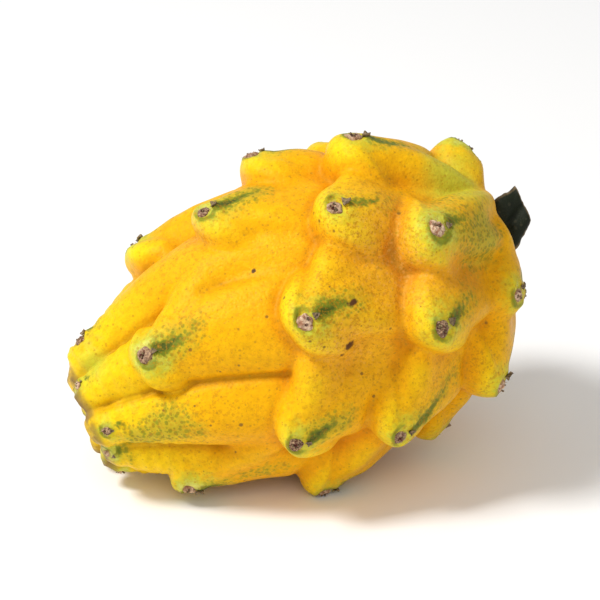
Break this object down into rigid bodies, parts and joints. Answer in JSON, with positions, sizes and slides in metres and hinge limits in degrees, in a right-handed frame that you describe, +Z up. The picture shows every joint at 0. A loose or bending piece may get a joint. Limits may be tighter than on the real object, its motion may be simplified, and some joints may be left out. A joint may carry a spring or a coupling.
{
  "type": "yellow dragon fruit",
  "caption": "Whole yellow dragon fruit with raised spiral tubercles and ribs, a flower scar at one end and a scrap of stem at the other, lying on its side.",
  "frame": {"origin": "middle of the underside of its bounding box, on the surface that the fruit lies on", "axes": "+Z up as it lies; +X along the fruit, from the narrow blossom end to the fat stem end, seen from above; +Y across it"},
  "size_m": [0.103, 0.0712, 0.0743],
  "materials": {
    "skin": "waxy golden yellow fruit skin with green streaks, fine dark freckles and a soft sheen",
    "stem": "dark blue-green waxy cactus stem with a dried tan cut",
    "dried_felt": "dry brown felt of the flower scar and the spine cushions"
  },
  "bodies": {
    "root": {"fruit": "skin", "stem_stub": "stem", "flower_remnant": "dried_felt"}
  },
  "joints": []
}
